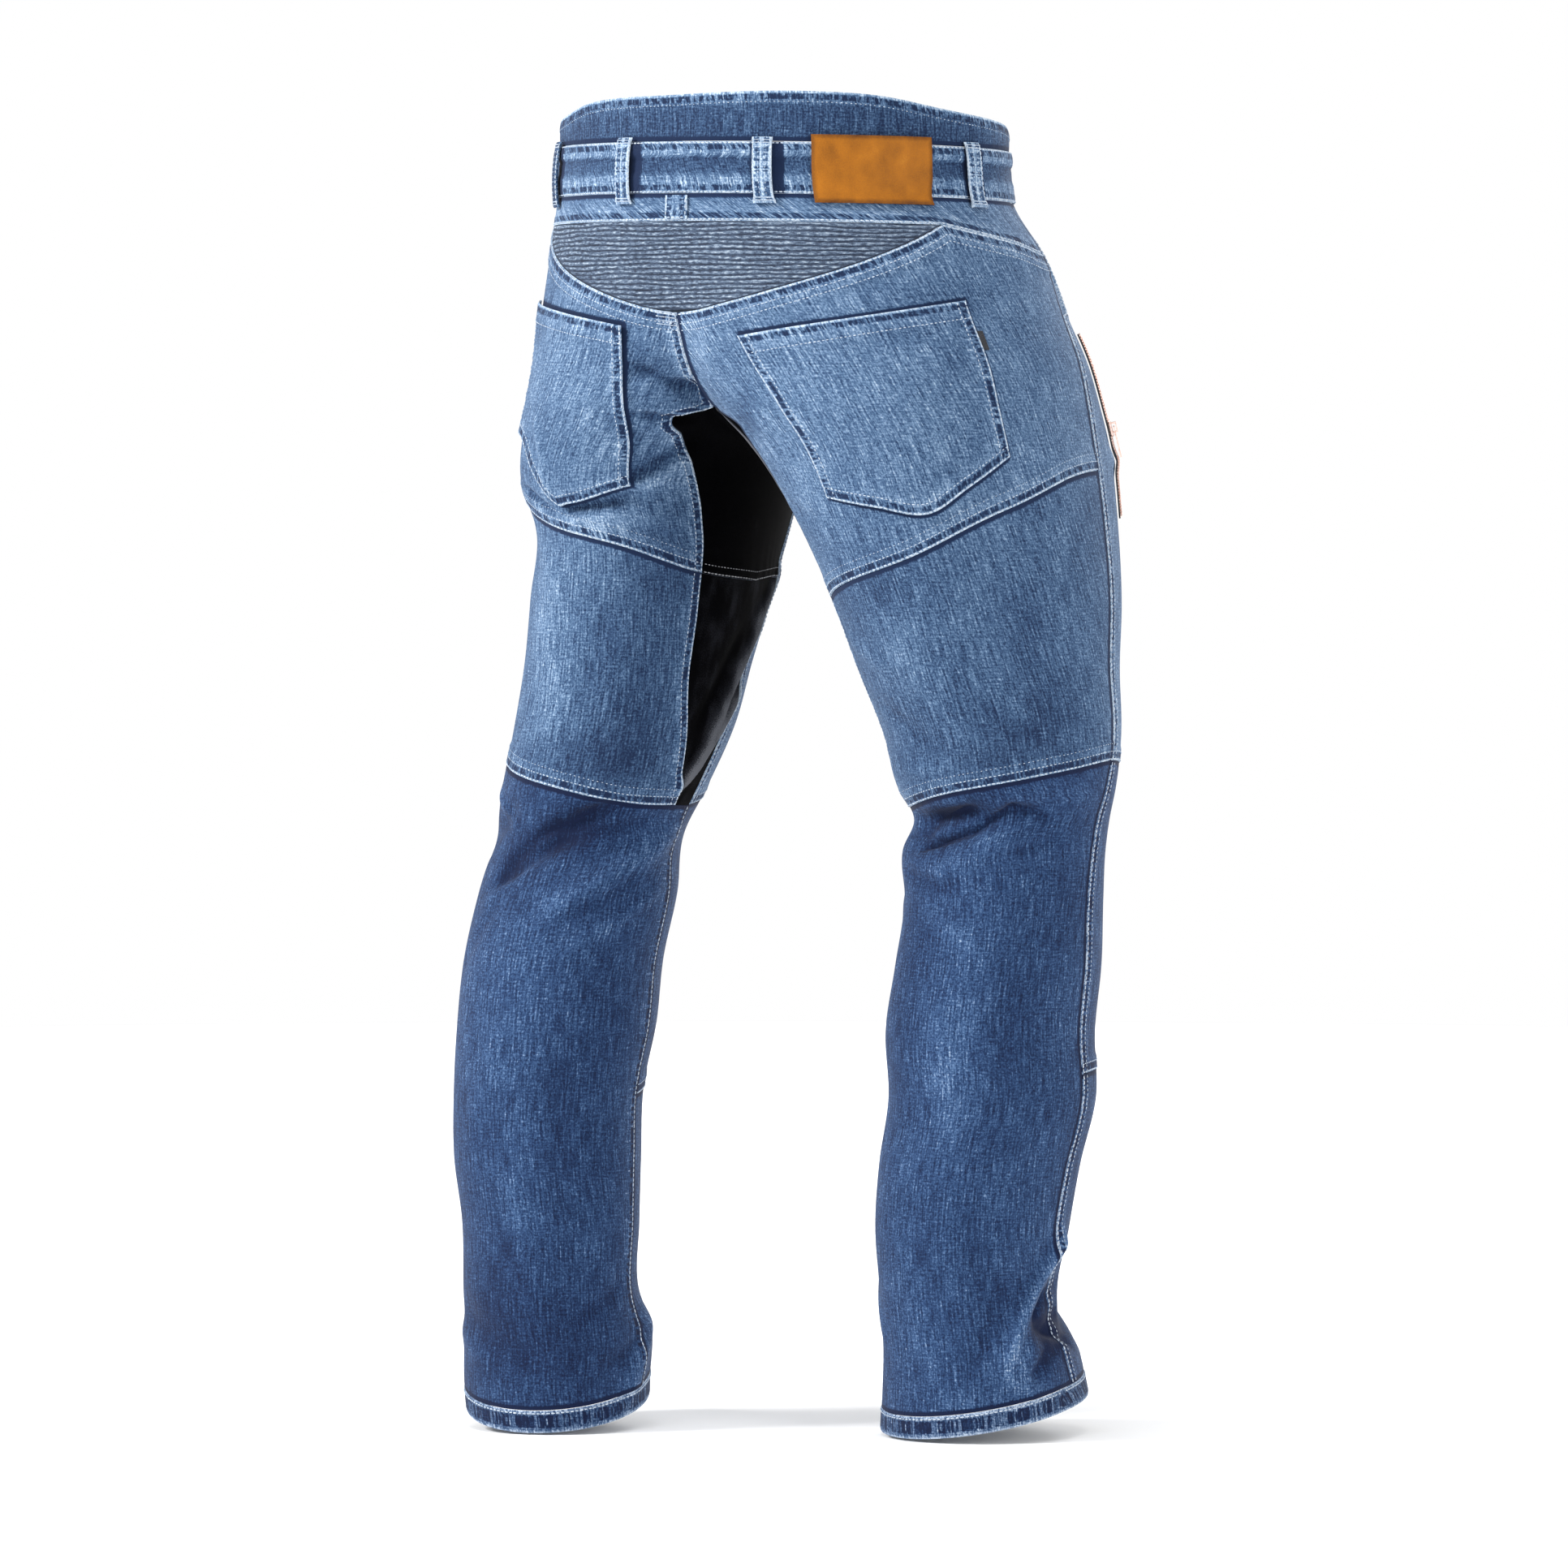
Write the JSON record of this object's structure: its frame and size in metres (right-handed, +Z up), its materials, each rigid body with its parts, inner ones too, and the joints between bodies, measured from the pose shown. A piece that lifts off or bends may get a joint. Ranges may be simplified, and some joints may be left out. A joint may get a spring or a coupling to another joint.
{
  "type": "motorcycle trousers",
  "caption": "Worn denim motorcycle trousers, stepping pose, hollow legs, stretch gussets, ribbed back panel, patch pockets and a hip zip with a swinging pull tab",
  "frame": {"origin": "middle of the waistband, in the plane that parts left from right", "axes": "+Z up the wearer's body, -Y the wearer's front, +X the wearer's left"},
  "size_m": [0.4926, 0.3534, 1.0154],
  "materials": {
    "denim_worn": "worn twill",
    "denim_dark": "dark twill",
    "denim_ribbed": "ribbed stretch twill",
    "stretch_black": "black stretch weave",
    "leather_tan": "smooth tan",
    "tape_black": "woven tape",
    "zip_copper": "copper-toned"
  },
  "bodies": {
    "trousers": {"back_pocket_left": "denim_worn", "back_pocket_right": "denim_worn", "back_tab": "denim_worn", "belt_loop_left_back": "denim_worn", "belt_loop_left_front": "denim_worn", "belt_loop_left_side": "denim_worn", "belt_loop_right_back": "denim_worn", "belt_loop_right_front": "denim_worn", "belt_loop_right_side": "denim_worn", "calf_back_left": "denim_dark", "calf_back_right": "denim_dark", "fly": "denim_worn", "front_left": "denim_worn", "front_right": "denim_worn", "gusset_lower_left": "stretch_black", "gusset_lower_right": "stretch_black", "gusset_upper_left": "stretch_black", "gusset_upper_right": "stretch_black", "hem_left": "denim_dark", "hem_right": "denim_dark", "hip_facing_left": "denim_worn", "hip_facing_right": "denim_worn", "kidney_band": "denim_worn", "knee_front_left": "denim_dark", "knee_front_right": "denim_dark", "leather_patch": "leather_tan", "pocket_tab": "tape_black", "ribbed_panel": "denim_ribbed", "seat_left": "denim_worn", "seat_right": "denim_worn", "shin_front_left": "denim_dark", "shin_front_right": "denim_dark", "thigh_back_left": "denim_worn", "thigh_back_right": "denim_worn", "waist_button": "zip_copper", "waistband": "denim_worn", "yoke": "denim_worn", "zip_slider": "zip_copper", "zip_strip": "tape_black"},
    "pull_tab": {"zip_pull": "zip_copper"}
  },
  "joints": [
    {"name": "pull_tab_swing", "type": "hinge", "parent": "trousers", "child": "pull_tab", "pos_m": [-0.22427, -0.11517, -0.19251], "axis": [-0.5559, 0.8228, -0.118], "range_deg": [0, 150]}
  ]
}
